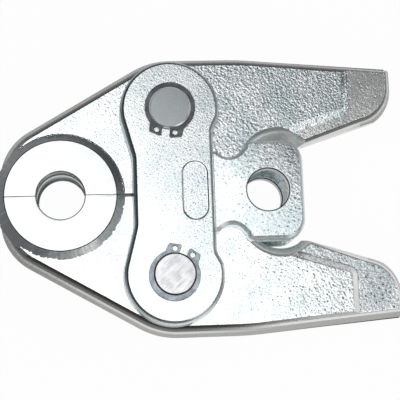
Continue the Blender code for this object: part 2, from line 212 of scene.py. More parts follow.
def settle(obj):
    # the mesh with its modifiers worked in, and its tools cleared away
    graph = bpy.context.evaluated_depsgraph_get()
    mesh = bpy.data.meshes.new_from_object(obj.evaluated_get(graph))
    bpy.data.objects.remove(obj)
    while tools:
        bpy.data.objects.remove(tools.pop())
    bm = bmesh.new()
    bm.from_mesh(mesh)
    bmesh.ops.remove_doubles(bm, verts=bm.verts, dist=meshing["weld"])
    bmesh.ops.dissolve_degenerate(bm, edges=bm.edges, dist=meshing["weld"])
    bm.to_mesh(mesh)
    bm.free()
    return mesh


def brokenEdges(mesh, width):
    # the small radius that blasting and plating leave on a machined edge
    reach = [[pick(vert.co[i] for vert in mesh.vertices) for i in range(3)] for pick in (min, max)]
    obj = linked("edges", mesh)
    bevel = obj.modifiers.new("edges", "BEVEL")
    bevel.width = width
    bevel.segments = meshing["breakTurns"]
    bevel.limit_method = "ANGLE"
    bevel.angle_limit = math.radians(meshing["breakFrom"])
    bevel.use_clamp_overlap = False
    bevel.miter_outer = "MITER_ARC"
    bevel.harden_normals = False
    mesh = settle(obj)
    # no worked edge may stand beyond the sharp shape
    for vert in mesh.vertices:
        vert.co = [min(max(at, low), high) for at, low, high in zip(vert.co, *reach)]
    return mesh


def sortFaces(mesh, finishes, rules):
    # each face gets the finish of the first rule that its middle and normal meet
    numbers = {name: i for i, name in enumerate(finishes)}
    for face in mesh.polygons:
        for name, rule in rules:
            if rule(face.center, face.normal):
                face.material_index = numbers[name]
                break


def piece(name, mesh, spin, body, node, finishes):
    # one shown piece in the frame, riding on its body and standing for its node
    own = mesh.copy()
    own.name = name
    own.transform(toRow @ spin)
    for material in finishes.values():
        own.materials.append(material)
    own.shade_smooth()
    own.set_sharp_from_angle(angle=math.radians(meshing["sharpFrom"]))
    obj = linked(name, own)
    # flat faces stay flat in the shading, and only the rounded stretches blend
    flatter = obj.modifiers.new("flatFaces", "WEIGHTED_NORMAL")
    flatter.keep_sharp = True
    flatter.weight = meshing["flatWeight"]
    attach(obj, body)
    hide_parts(node)


# shader maths

class Value:
    # a socket that takes part in sums
    def __init__(self, nodes, socket):
        self.nodes = nodes
        self.socket = socket

    def maths(self, operation, *terms):
        return self.nodes.node("Math", {"operation": operation}, dict(enumerate(terms)))

    def __add__(self, other):
        return self.maths("ADD", self, other)

    def __radd__(self, other):
        return self.maths("ADD", other, self)

    def __sub__(self, other):
        return self.maths("SUBTRACT", self, other)

    def __rsub__(self, other):
        return self.maths("SUBTRACT", other, self)

    def __mul__(self, other):
        return self.maths("MULTIPLY", self, other)

    def __rmul__(self, other):
        return self.maths("MULTIPLY", other, self)

    def __pow__(self, other):
        return self.maths("POWER", self, other)

    def __rpow__(self, other):
        return self.maths("POWER", other, self)

    def root(self):
        return self.maths("SQRT", self)

    def size(self):
        return self.maths("ABSOLUTE", self)

    def wave(self):
        # a sine, brought to 0..1
        return self.maths("SINE", self) * 0.5 + 0.5

    def least(self, other):
        return self.maths("MINIMUM", self, other)

    def between(self, low, high):
        # 0 below low, 1 above high, smooth between
        return self.nodes.node("MapRange", {"interpolation_type": "SMOOTHSTEP"},
                               {"Value": self, "From Min": low, "From Max": high}, "Result")


class Nodes:
    # one material, with all its nodes made by one method
    socketNames = {"colour": "Base Color", "rough": "Roughness", "metal": "Metallic", "normal": "Normal"}

    def __init__(self, name):
        self.material = bpy.data.materials.new(name)
        self.material.use_nodes = True
        self.tree = self.material.node_tree
        self.shader = self.tree.nodes["Principled BSDF"]

    def feed(self, socket, value):
        if isinstance(value, Value):
            self.tree.links.new(value.socket, socket)
        elif socket.type == "RGBA":
            socket.default_value = (*value, 1.0)
        else:
            socket.default_value = value

    def node(self, kind, settings=None, values=None, out=0):
        made = self.tree.nodes.new("ShaderNode" + kind)
        for key, value in (settings or {}).items():
            setattr(made, key, value)
        for key, value in (values or {}).items():
            self.feed(made.inputs[key], value)
        if isinstance(out, tuple):
            return [Value(self, made.outputs[key]) for key in out]
        return Value(self, made.outputs[out])

    def set(self, **sockets):
        for key, value in sockets.items():
            self.feed(self.shader.inputs[self.socketNames[key]], value)
        return self.material


class Finish(Nodes):
    # a finish of the jaw, which knows its places in the jaw's own layout
    def __init__(self, name):
        super().__init__(name)
        self.place = self.node("TexCoord", out="Object")
        x, y, z = self.axes(self.place)
        self.x = x * 1000 - layout["shift"]
        self.y = y * 1000
        self.z = z * 1000 - layout["lift"]

    def axes(self, vector):
        return self.node("SeparateXYZ", None, {0: vector}, (0, 1, 2))

    def upness(self):
        # 1 on faces that look along the pins, 0 on upright walls
        return self.axes(self.node("NewGeometry", out="Normal"))[2].size()

    def noise(self, perMm, detail=3.0, rough=0.6, stretch=None):
        place = self.place
        if stretch:
            turn, length = stretch
            place = self.node("Mapping", {"vector_type": "TEXTURE"}, {
                "Vector": place, "Rotation": (0, 0, turn), "Scale": (1.0, length, 1.0)})
        return self.node("TexNoise", None, {
            "Vector": place, "Scale": perMm * 1000, "Detail": detail, "Roughness": rough})

    def cells(self, perMm):
        return self.node("TexVoronoi", {"feature": "F1"}, {
            "Vector": self.place, "Scale": perMm * 1000}, "Distance")

    def mix(self, factor, first, second):
        # two colours blended by a factor
        return self.node("Mix", {"data_type": "RGBA"}, {0: factor, 6: first, 7: second}, 2)

    def bump(self, height, millimetres=1.0):
        return self.node("Bump", None, {"Height": height, "Distance": millimetres * 0.001, "Strength": 1.0})


# finishes

forgedLook = {
    "bright": (0.96, 0.97, 0.97), "dull": (0.56, 0.64, 0.66), "speck": (0.08, 0.10, 0.11),
    # painted shade on the drafted walls: their colours high and low in the picture, and which way they grow
    # lighter
    "wallHigh": (0.16, 0.16, 0.15), "wallLow": (0.40, 0.40, 0.39), "across": 0.6, "down": 1.0,
    # painted shade: the colour of the dark line where a face rounds over into its wall
    "crease": (0.07, 0.07, 0.07),
    # the blasting is coarser towards the tails
    "rougherFrom": -18, "rougherTo": 40, "rougherUp": 0.0,
    # grains and patches to a millimetre; pits and streaks are a share of the grains
    "grain": 1.35, "patches": 0.09, "pits": 0.5, "streaks": 0.7, "streakTurn": 0.7, "streakLength": 1.3,
    "grainDepth": 0.17, "pitDepth": 0.12, "dulling": 0.07,
    "rough": 0.09, "wallRough": 0.26, "metal": 0.94, "wallMetal": 0.7,
}
# the colour of the painted highlight on a lever's walls
rubbedWall = (0.92, 0.92, 0.90)

# where each tone of a forging begins, and where it is full
forgedSpan = {
    # by how far the surface looks along the pins
    "face": (0.80, 0.94), "crease": (0.55, 0.72),
    # by height from the middle plane: on a lever's wall, at the roller pad's step, on a plate
    "rubbedStart": (2.6, 3.3), "rubbedEnd": (4.0, 4.5), "crown": (4.2, 4.7),
    "stepStart": (5.92, 6.05), "stepEnd": (6.5, 6.68),
    "padFace": (11.6, 12.6), "padCrease": (11.5, 12.3),
    # by place along the lever and in the picture
    "stepReach": (42, 46), "stepTail": (58.5, 60.5), "low": (-34, 40), "tail": (50, 85),
    # by the noise itself
    "tone": (0.36, 0.56), "pit": (0.0, 0.33), "mottle": (0.47, 0.60),
}

# how strongly each of them shows, and by how many millimetres the grain frays the walls' shading
forgedShare = {
    "grain": 0.6, "leastCoarse": 0.15, "pit": 0.9, "mottle": 0.6, "fray": 60,
    "rubbedWall": 0.6, "rubbedCrown": 0.8, "dullCrown": 0.7,
    "crease": 0.9, "tailCrease": 0.6, "tabCrease": 0.3, "lowCrease": 0.45,
    "streaks": 0.8, "leastRelief": 0.3, "patchRough": 0.2,
}


def forgedZinc(name, **changes):
    # shot-blasted forging under bright zinc: bright blasted faces and duller, rougher drafted walls, whose
    # darker colour is painted shade, lighter low and to the right, with a painted highlight and a painted
    # dark crease
    look = dict(forgedLook, **changes)
    span, share = forgedSpan, forgedShare
    f = Finish(name)
    grain = f.noise(look["grain"])
    streaks = f.noise(look["grain"] * look["streaks"], detail=2.0, rough=0.5,
                      stretch=(look["streakTurn"], look["streakLength"]))
    patches = f.noise(look["patches"], rough=0.5)
    pit = 1 - f.cells(look["grain"] * look["pits"]).between(*span["pit"])
    up = f.upness()
    face = up.between(*span["face"])
    height = f.z.size()
    along = f.x + f.y * look["rougherUp"]
    coarse = along.between(look["rougherFrom"], look["rougherTo"])
    coarse = coarse * (1 - share["leastCoarse"]) + share["leastCoarse"]
    metal = face * (look["metal"] - look["wallMetal"]) + look["wallMetal"]

    tone = grain * share["grain"] + patches * (1 - share["grain"]) - coarse * look["dulling"]
    colour = f.mix(tone.between(*span["tone"]), look["dull"], look["bright"])
    colour = f.mix(pit * coarse * share["pit"], colour, look["speck"])
    if "softStep" in look:
        # the step down to the roller pad is matt: speckled along the flank, white across the tail
        step = height.between(*span["stepStart"]) * (1 - height.between(*span["stepEnd"]))
        step = step * f.x.between(*span["stepReach"]) * look["softStep"]
        mottle = grain.between(*span["mottle"]) * (1 - f.x.between(*span["stepTail"])) * share["mottle"]
        colour = f.mix(step, colour, f.mix(mottle, look["bright"], look["speck"]))
        metal = metal * (1 - step)
    if "tabDull" in look:
        colour = f.mix((1 - height.between(*span["padFace"])) * look["tabDull"], colour, look["dull"])

    # painted shade on the walls: darker high and to the left, lighter low and to the right, frayed by the
    # grain
    low = f.x * look["across"] - f.y * look["down"] + (grain - 0.5) * share["fray"]
    low = low.between(*span["low"])
    wall = f.mix(low, look["wallHigh"], look["wallLow"])
    tail = (f.x - f.y).between(*span["tail"])
    if "rubbed" in look:
        # painted highlight and painted shade: the crown is painted dark and, on the lit side, the wall under
        # it gets a painted highlight; at the tail the crown gets the painted highlight instead
        crown = height.between(*span["crown"])
        rubbed = height.between(*span["rubbedStart"]) * (1 - height.between(*span["rubbedEnd"])) * low
        rubbed = rubbed * (1 - tail) * share["rubbedWall"] + crown * tail * share["rubbedCrown"]
        wall = f.mix(rubbed, wall, look["rubbed"])
        wall = f.mix(crown * (1 - tail) * share["dullCrown"], wall, look["crease"])
    # painted shade: the rounding between face and wall darkened, less at the tail; on a plate also less on
    # the thin tab and on the lit side
    crease = up.between(*span["crease"]) * (share["crease"] - tail * share["tailCrease"])
    if "tabDull" in look:
        thick = height.between(*span["padCrease"]) * (1 - share["tabCrease"]) + share["tabCrease"]
        crease = crease * thick * (1 - low * share["lowCrease"])
    wall = f.mix(crease, wall, look["crease"])
    colour = f.mix(face, wall, colour)

    relief = (grain + streaks * share["streaks"]) * look["grainDepth"]
    relief = relief * (coarse * (1 - share["leastRelief"]) + share["leastRelief"])
    relief = relief - pit * coarse * look["pitDepth"]
    rough = face * (look["rough"] - look["wallRough"]) + look["wallRough"]
    rough = rough + (patches - 0.5) * share["patchRough"]
    return f.set(colour=colour, metal=metal, rough=rough, normal=f.bump(relief))


machinedLook = {
    "bright": (0.92, 0.93, 0.93), "dull": (0.82, 0.85, 0.85), "metal": 0.9,
    "rough": 0.23, "patchRough": 0.15,                # at the least, and what the patches add
    "centre": -layout["dieReach"], "marksPerMm": 14,  # the tool marks
    "grain": 0.9, "patches": 0.12,
    "patchTone": 0.6, "markTone": 0.12, "grainTone": 0.3, "toneSpan": (0.3, 0.7),
    "markDepth": 0.004, "grainDepth": 0.02,
    "shadeSpan": (10, 32), "fray": 16,                # from the collar's shaded side to its lit one
}


def machinedSteel(name, **changes):
    # turned or milled faces, with fine tool marks round the die
    look = dict(machinedLook, **changes)
    f = Finish(name)
    across = f.x - look["centre"]
    marks = ((across ** 2 + f.y ** 2).root() * look["marksPerMm"]).wave()
    grain = f.noise(look["grain"])
    patches = f.noise(look["patches"], detail=2.0, rough=0.5)
    tone = patches * look["patchTone"] + marks * look["markTone"] + grain * look["grainTone"]
    colour = f.mix(tone.between(*look["toneSpan"]), look["dull"], look["bright"])
    if "shade" in look:
        side = across - f.y + (grain - 0.5) * look["fray"]
        colour = f.mix(side.between(*look["shadeSpan"]), look["shade"], colour)
    relief = marks * look["markDepth"] + grain * look["grainDepth"]
    rough = patches * look["patchRough"] + look["rough"]
    return f.set(colour=colour, metal=look["metal"], rough=rough, normal=f.bump(relief))


# painted shade: a near-black finish that draws dark lines on the broken edges round the die and the hanger
# bore
darkEdge = machinedSteel("darkEdge", bright=(0.03, 0.03, 0.03), dull=(0.02, 0.02, 0.02), rough=0.53,
                         metal=0.0, centre=0, marksPerMm=1)
leverFinishes = {
    "forged": forgedZinc("forgedZinc", rubbed=rubbedWall),
    "die": machinedSteel("turnedDie"),
    "flank": machinedSteel("milledFlank", bright=(0.72, 0.72, 0.71), dull=(0.60, 0.60, 0.60),
                           centre=0, marksPerMm=0.5),
    "pad": forgedZinc("blastedPad", bright=(0.92, 0.92, 0.91), dull=(0.80, 0.82, 0.82),
                      grainDepth=0.06, pitDepth=0.05, rough=0.2, metal=0.74),
    "collar": machinedSteel("turnedCollar", bright=(0.94, 0.95, 0.94), dull=(0.74, 0.80, 0.82),
                            shade=(0.20, 0.22, 0.23), metal=0.45, marksPerMm=9),
    # painted light: the seat bowl's walls and crease are coloured lighter than the other walls, against the
    # shade that falls in the bowl
    "seat": forgedZinc("blastedSeat", wallHigh=(0.50, 0.52, 0.52), wallLow=(0.92, 0.94, 0.92),
                       crease=(0.40, 0.42, 0.42), grainDepth=0.05, pitDepth=0.02),
    "contour": machinedSteel("dieContour", bright=(0.56, 0.58, 0.58), dull=(0.42, 0.44, 0.44)),
    "edge": darkEdge,
}
# the lower lever came out of the blasting finer, with a more speckled pad
lowerFinishes = dict(
    leverFinishes,
    forged=forgedZinc("lowerForging", rubbed=rubbedWall, grainDepth=0.11, pitDepth=0.08, rougherFrom=0,
                      rougherTo=75, dulling=0.03, softStep=0.9),
    pad=forgedZinc("speckledPad", bright=(0.86, 0.88, 0.88), dull=(0.54, 0.60, 0.62),
                   grainDepth=0.32, pitDepth=0.22),
)
plateFinishes = {
    "forged": forgedZinc("forgedPlate", grain=1.9, grainDepth=0.07, pitDepth=0.05, rough=0.24,
                         dull=(0.66, 0.74, 0.76), wallHigh=(0.22, 0.29, 0.32), wallLow=(0.74, 0.79, 0.80),
                         across=2.0, down=0.5, rougherFrom=-25, rougherTo=30, rougherUp=0.4,
                         dulling=0.06, tabDull=0.5),
    # painted shade: the hanger bore's walls and the sunk field's rim are coloured darker than the plate's
    # walls
    "bore": forgedZinc("boredHole", wallHigh=(0.28, 0.29, 0.30), wallLow=(0.34, 0.35, 0.36),
                       grainDepth=0.03, pitDepth=0.01),
    "inside": forgedZinc("plateInside", grain=1.9, grainDepth=0.08, pitDepth=0.06, metal=0.2, rough=0.5),
    "edge": darkEdge,
}
print("press jaw: finishes made")


# jaw levers

# seatSide and reliefEnd are shares of the seat's radius; the slopes and seat ends are in degrees
lever = {
    "noseReach": 57.5, "noseRadius": 19.0, "backHeight": 48.0, "backSlope": 30.2, "backLine": 29.9,
    "shoulderRadius": 26.0, "tailReach": 78.2, "tailHeight": 43.3, "dropStart": 25.0, "dropRadius": 90.0,
    "tailCorner": 1.9, "cornerRise": 9.0,
    "flankHeight": 17.4, "flankStart": 48.4, "flankSlope": 17.0, "flankStock": 1.7, "tipRadius": 14.4,
    "seatRadius": 11.4, "seatStart": 205, "seatEnd": 42.0, "seatLead": 18, "seatSide": 0.85,
    "splitGap": 0.06, "webGap": 1.0, "webStart": 17.0, "reliefStart": 4.0, "reliefEnd": 0.2, "stock": 4.6,
    "draft": 22, "crownRadius": 5.4, "crownEnd": 55, "land": 0.6,
    "padDepth": 0.8, "padStart": 62.4, "padBand": 4.6, "padRadius": 4.0, "padSlope": 2.7,
    "bossFace": 18.85, "bossEdge": 0.35, "bossEdgeDrop": 0.14, "bossFoot": 21.4, "bossTop": 9.2,
    "bossSink": 0.8, "bossPlay": 0.05, "bossEnd": 0.02, "trimPlay": 0.1, "ragged": 0.3, "edgeBreak": 0.22,
    "springReach": 13.0, "springPocket": 3.65, "pocketEnd": 12.0,
}
contour = {
    "radius": 8.0, "groove": 0.9, "ridge": 0.3, "ridgeHalf": 1.0, "slope": 0.55, "land": 0.9,
    "edge": 0.4, "chamfer": 1.3, "chamferDrop": 0.12,
}
# the roller pad's step, in shares of its width and of its depth; the last one clears the face
padSteps = ((0.30, 0.18), (0.40, 0.50), (0.30, 0.32), (0.3, 1.0))

# what tells the lever's faces apart: reaches in millimetres, and how far a face looks along the pins
leverFaces = {
    "topBand": 0.3, "rimBand": 0.6, "footBand": 0.5, "slack": 0.05,
    "collarInside": 0.2, "collarOutside": 1.2, "flankFrom": 40, "flankBand": 0.35,
    "seatBand": 4.0, "seatFrom": 4, "splitBand": 0.3, "padFrom": 46, "padLow": 5.0,
    "bossEdge": (0.3, 0.97), "contourEdge": (0.1, 0.9), "collar": 0.95, "wall": 0.8, "flat": 0.985,
}


def seatCentre():
    # the bolt's middle, as the lever meets it when it is open
    start = Vector((layout["boltReach"], -layout["pinRise"]))
    return Matrix.Rotation(math.radians(layout["openAngle"]), 2) @ start + Vector((0, layout["pinRise"]))


def flankAt(x):
    return lever["flankHeight"] + (x - lever["flankStart"]) * math.tan(math.radians(lever["flankSlope"]))


def leverOutline():
    slope = math.tan(math.radians(lever["backSlope"]))
    nose, tail, top = lever["noseReach"], lever["tailReach"], lever["backHeight"]
    back = rounded([
        (-nose, -lever["stock"], 0),
        (-nose, lever["backLine"] + (layout["dieReach"] - nose) * slope, lever["noseRadius"]),
        ((top - lever["backLine"]) / slope - layout["dieReach"], top, lever["shoulderRadius"]),
        (lever["dropStart"], top, lever["dropRadius"]),
        (tail, lever["tailHeight"], 0),
        (tail, flankAt(tail) - lever["flankStock"], lever["tipRadius"]),
    ])
    # the seat's first stretch is straight, so that its corner stays whole as the wall draws in
    seat, radius = seatCentre(), lever["seatRadius"]
    bowl = arc(seat.x, seat.y, radius, lever["seatEnd"], lever["seatStart"])[:1]
    bowl += arc(seat.x, seat.y, radius, lever["seatEnd"] + lever["seatLead"], lever["seatStart"])
    return back + bowl + [Vector((seat.x - radius * lever["seatSide"], -lever["stock"]))]


def faceOutline(inset):
    # the flat face's own outline, inside the walls
    bm = bmesh.new()
    face = bm.faces.new([bm.verts.new((p.x, p.y, 0)) for p in leverOutline()])
    bmesh.ops.inset_individual(bm, faces=[face], thickness=inset, use_even_offset=True)
    points = [vert.co.to_2d() for vert in face.verts]
    bm.free()
    return points


def partingTool(deep, far):
    # a hair's breadth through the die, more beside the plates, and the room to turn behind the pin
    end = seatCentre().x + lever["seatRadius"] * lever["reliefEnd"]
    room = (end - lever["reliefStart"]) * math.tan(math.radians(layout["openAngle"]))
    split, web = lever["splitGap"] / 2, lever["webGap"] / 2
    gap = [(-far, split), (-lever["webStart"], split), (-lever["webStart"], web),
           (lever["reliefStart"], web), (end, web + room), (end, -far), (-far, -far)]
    return slab("partingTool", [Vector(p) for p in gap], -deep, deep)


def flankTool(deep, far):
    start = seatCentre().x
    ramp = [(start, flankAt(start)), (start, -far), (far, -far), (far, flankAt(far))]
    return slab("flankTool", [Vector(p) for p in ramp], -deep, deep)


def cornerTool(deep, far):
    tail, height = lever["tailReach"], lever["tailHeight"]
    corner = rounded([(-far, height + lever["cornerRise"], 0), (tail, height, lever["tailCorner"]),
                      (tail, -far, 0)])[1:-1]
    return slab("cornerTool", corner + [Vector((tail + 1, height + 1))], -deep, deep)


def padTools(far):
    # the thinner roller pad at the tail, in front and behind
    band = lever["padBand"] / math.cos(math.radians(lever["flankSlope"]))
    first, start, floor = lever["flankStart"] - 3 * lever["padBand"], lever["padStart"], lever["padDepth"]
    edge = rounded([(first, flankAt(first) + band, 0), (start, flankAt(start) + band, lever["padRadius"]),
                    (start, far, 0), (far, far, 0), (far, -far, 0), (first, -far, 0)])
    steps = [(-lever["padSlope"] * width, floor * depth) for width, depth in padSteps]
    for side in (1, -1):
        pad = forging("padTool", edge, layout["leverHalf"] - floor, steps, True)
        if side < 0:
            pad.data.transform(Matrix.Scale(-1, 4, (0, 0, 1)))
            pad.data.flip_normals()
        yield pad


def contourTool():
    # the die: chamfer, land, groove and a low middle ridge
    c = contour
    top = lever["bossTop"] - c["chamferDrop"]
    above = lever["bossTop"] + c["chamferDrop"]
    groove = c["radius"] + c["groove"]
    half = [(0, above), (c["radius"] + c["edge"] + 2 * c["chamfer"], above),
            (c["radius"] + c["edge"], top), (c["radius"], top - c["edge"]), (c["radius"], top - c["land"]),
            (groove, top - c["land"] - c["slope"]), (groove, c["ridgeHalf"] + c["slope"]),
            (c["radius"] + c["ridge"], c["ridgeHalf"])]
    return turned("contourTool", bothEnds(half))


def pocketTool(deep):
    radius, end = lever["springPocket"], lever["pocketEnd"]
    pocket = turned("pocketTool", [(0, deep), (radius, deep), (radius, -end), (0, -end)], count=48)
    pocket.data.transform(Matrix.Rotation(math.radians(90), 4, "X"))
    return pocket


def leverTools():
    deep = 2 * lever["bossTop"]
    far = 2 * lever["tailReach"]
    yield partingTool(deep, far)
    yield flankTool(deep, far)
    yield cornerTool(deep, far)
    yield from padTools(far)
    yield moved(contourTool(), -layout["dieReach"])
    yield moved(boring("boreTool", layout["pinRadius"] + layout["pinPlay"], deep), 0, layout["pinRise"])
    yield moved(pocketTool(deep), lever["springReach"])


def leverRules():
    # finishes by place: from the die's edges outwards to the tail
    limit = leverFaces
    top, half, seat = lever["bossTop"], layout["leverHalf"], seatCentre()
    contourTop = top - contour["chamferDrop"]
    inside = lever["bossFace"] - lever["bossEdge"] - limit["collarInside"]
    outside = lever["bossFoot"] + limit["collarOutside"]

    def fromDie(p):
        return math.hypot(p.x + layout["dieReach"], p.y)

    def onCollar(p):
        return inside < fromDie(p) < outside

    def onContour(p):
        return fromDie(p) < contour["radius"] + contour["chamfer"]

    def slants(n, edge):
        low, high = limit[edge]
        return low < abs(n.z) < high

    return [
        # painted shade: the collar's broken edge and the die contour's rim get the near-black edge finish
        ("edge", lambda p, n: abs(p.z) > top - limit["topBand"] and slants(n, "bossEdge") and onCollar(p)),
        ("die", lambda p, n: abs(p.z) > top - limit["topBand"]),
        ("edge", lambda p, n: onContour(p) and abs(p.z) > contourTop - limit["rimBand"]
            and slants(n, "contourEdge")),
        ("die", lambda p, n: onContour(p) and abs(p.z) > contourTop - limit["slack"]),
        ("contour", lambda p, n: onContour(p)),
        ("collar", lambda p, n: abs(p.z) > half - limit["footBand"] and onCollar(p)
            and abs(n.z) < limit["collar"]),
        ("flank", lambda p, n: p.x > limit["flankFrom"] and abs(p.y - flankAt(p.x)) < limit["flankBand"]
            and abs(n.z) < limit["wall"]),
        ("seat", lambda p, n: (p.to_2d() - seat).length < lever["seatRadius"] + limit["seatBand"]
            and abs(n.z) < limit["wall"] and p.y > limit["seatFrom"]),
        ("die", lambda p, n: p.y < limit["splitBand"]),
        ("forged", lambda p, n: abs(n.z) < limit["flat"]),
        ("pad", lambda p, n: limit["padLow"] < abs(p.z) < half - limit["slack"] and p.x > limit["padFrom"]),
        ("forged", lambda p, n: True),
    ]


def leverMesh(finishes):
    wall = draftSteps(layout["leverHalf"], lever["draft"], lever["crownRadius"], lever["crownEnd"],
                      land=lever["land"])
    body = forging("lever", leverOutline(), 0, wall, False)
    top, face, sink = lever["bossTop"], lever["bossFace"], lever["bossSink"]
    foot = lever["noseReach"] - layout["dieReach"] - lever["bossPlay"]
    rim = [(0, top), (face - lever["bossEdge"], top), (face, top - lever["bossEdgeDrop"])]
    boss = turned("boss", bothEnds(rim + [(foot, lever["bossEnd"])]), count=180)
    cut(body, moved(boss, -layout["dieReach"]), "UNION")
    end = (lever["bossFoot"] + sink, layout["leverHalf"] - sink)
    collar = turned("collar", bothEnds(rim + [end]), count=200)
    ragged(collar, lever["bossFoot"], lever["ragged"], (rim[-1][1] - end[1]) / (end[0] - rim[-1][0]))
    moved(collar, -layout["dieReach"])
    # the collar's foot stays on the flat face, so that the walls run past it
    trim = faceOutline(sum(inset for inset, rise in wall) + lever["trimPlay"])
    cut(collar, slab("collarTrim", trim, -meshing["through"], meshing["through"]), "INTERSECT")
    cut(body, collar, "UNION")
    for tool in leverTools():
        cut(body, tool)
    mesh = brokenEdges(settle(body), lever["edgeBreak"])
    sortFaces(mesh, finishes, leverRules())
    return mesh


leverShape = leverMesh(leverFinishes)
piece("upperLever", leverShape, asDrawn, "upper_jaw", "upper_jaw_lever", leverFinishes)
piece("lowerLever", leverShape, turnOver, "lower_jaw", "lower_jaw_lever", lowerFinishes)
print("press jaw: levers made", len(leverShape.polygons))


# side plates

plate = {
    "tabThick": 4.4, "padThick": 6.3, "headRadius": 17.0, "waistLeft": 13.2, "waistRight": 14.6,
    "leftHeight": 11.5, "rightHeight": 20.5, "shoulder": 24.5, "leftBlend": 9.0, "rightBlend": 3.0,
    "draft": 5, "crownRadius": 2.6, "crownEnd": 62, "edgeBreak": 0.2,
    "tabReach": 44.8, "tabHalf": 17.2, "tabRadius": 7.6, "neckHalf": 11.8,
    "notchReach": 19.6, "notchRadius": 4.9, "notchCorner": 2.4, "notchFrom": -35, "notchTo": -130,
    "notchEnd": -145, "notchLead": 0.5, "boltRadius": 7.1, "boltEdge": 0.35,
    "fieldReach": 7.7, "fieldHalf": 4.4, "fieldLength": 10.0, "fieldDepth": 0.4, "fieldSlope": 0.35,
}
# what tells the plate's faces apart, as for the lever
plateFaces = {"slack": 0.1, "footBand": 0.05, "boltEdge": (0.1, 0.97), "wall": 0.9}


def padOutline():
    # the dog bone round both pins
    wide, tight = plate["leftBlend"], plate["rightBlend"]
    low, high = plate["leftHeight"], plate["rightHeight"]
    lean = math.degrees(math.acos((plate["shoulder"] - layout["pinRise"]) / plate["headRadius"]))
    top = arc(0, layout["pinRise"], plate["headRadius"], 90 - lean, 90 + lean)
    first, last = top[-1], top[0]
    left = rounded([(first.x, first.y, 0), (-plate["waistLeft"], low, wide),
                    (-plate["waistLeft"], -low, wide), (first.x, -first.y, 0)])[1:-1]
    right = rounded([(last.x, -last.y, 0), (plate["waistRight"], -high, tight),
                     (plate["waistRight"], high, tight), (last.x, last.y, 0)])[1:-1]
    return top + left + mirrored(top) + right


def tabOutline():
    radius, reach = plate["notchRadius"], plate["notchReach"]
    centre = plate["neckHalf"] + radius
    side = reach + radius
    upper = rounded([(plate["tabReach"], 0, 0), (plate["tabReach"], plate["tabHalf"], plate["tabRadius"]),
                     (side, plate["tabHalf"], plate["notchCorner"]),
                     (side, centre - radius * plate["notchLead"], 0)])[1:-1]
    upper += arc(reach, centre, radius, plate["notchFrom"], plate["notchTo"])
    # one straight stretch, so that the corner stays whole as the wall draws in
    upper += arc(reach, centre, radius, plate["notchFrom"], plate["notchEnd"])[-1:]
    upper.append(Vector((0, upper[-1].y)))
    return upper + mirrored(upper)


def boltTool():
    # the hanger bore with its broken edges
    foot, far = layout["plateFoot"], meshing["through"]
    bolt, edge, face = plate["boltRadius"], plate["boltEdge"], foot + plate["tabThick"]
    wide = bolt + edge
    return turned("boltTool", [(0, far), (wide, far), (wide, face), (bolt, face - edge),
                               (bolt, foot + edge), (wide, foot), (wide, -far), (0, -far)])


def fieldTool():
    # the sunk oblong field, left bare
    slope, depth = plate["fieldSlope"], plate["fieldDepth"]
    half = plate["fieldLength"] - plate["fieldHalf"]
    ends = plate["fieldHalf"] - slope
    field = arc(plate["fieldReach"], half, ends, 0, 180) + arc(plate["fieldReach"], -half, ends, 180, 360)
    floor = layout["plateFoot"] + plate["padThick"] - depth
    steps = [(-slope, depth), (-0.1, 1)]    # the last one clears the face
    return forging("fieldTool", field, floor, steps, True)


def plateRules():
    slack, foot = plateFaces["slack"], layout["plateFoot"]
    floor = foot + plate["padThick"] - plate["fieldDepth"]
    bolt = plate["boltRadius"] + slack
    low, high = plateFaces["boltEdge"]

    def fromBolt(p):
        return math.hypot(p.x - layout["boltReach"], p.y)

    def inField(p):
        return (p.z > floor and abs(p.x - plate["fieldReach"]) < plate["fieldHalf"] + slack
                and abs(p.y) < plate["fieldLength"] + slack)

    return [
        # painted shade: the hanger bore's broken edges get the near-black edge finish
        ("edge", lambda p, n: fromBolt(p) < bolt + plate["boltEdge"] and low < abs(n.z) < high),
        ("bore", lambda p, n: fromBolt(p) < bolt),
        # painted shade: the sunk field's rim gets the darker bore finish
        ("bore", lambda p, n: inField(p) and abs(n.z) < plateFaces["wall"]),
        ("inside", lambda p, n: p.z < foot + plateFaces["footBand"]),
        ("forged", lambda p, n: True),
    ]


def plateMesh(finishes):
    def wall(thick):
        return draftSteps(thick, plate["draft"], plate["crownRadius"], plate["crownEnd"])

    body = forging("plate", padOutline(), layout["plateFoot"], wall(plate["padThick"]), True)
    cut(body, forging("tab", tabOutline(), layout["plateFoot"], wall(plate["tabThick"]), True), "UNION")
    for side in (1, -1):
        bore = boring("boreTool", layout["pinRadius"] + layout["pinPlay"])
        cut(body, moved(bore, 0, side * layout["pinRise"]))
    cut(body, moved(boltTool(), layout["boltReach"]))
    cut(body, fieldTool())
    mesh = brokenEdges(settle(body), plate["edgeBreak"])
    sortFaces(mesh, finishes, plateRules())
    return mesh


plateShape = plateMesh(plateFinishes)
piece("frontPlate", plateShape, asDrawn, "side_plates", "front_side_plate", plateFinishes)
piece("rearPlate", plateShape, turnOver, "side_plates", "rear_side_plate", plateFinishes)
print("press jaw: plates made", len(plateShape.polygons))


# pins

pin = {
    "chamfer": 0.5, "grooveRadius": 6.7, "end": 0.9, "edgeBreak": 0.12,
    "ringFoot": 13.6, "ringThick": 1.0, "ringPlay": 0.15,
}
pinLook = {
    "ringsPerMm": 5, "ringShare": 0.25, "linesPerMm": 3.2, "lineTurn": -0.85, "lineLength": 24.0,
    "grain": 0.35, "markTone": 0.6, "grainTone": 0.4, "toneSpan": (0.3, 0.65), "faceSpan": (0.75, 0.95),
    "rough": 0.28, "markRough": 0.12, "markDepth": 0.02, "metal": 0.95,
}
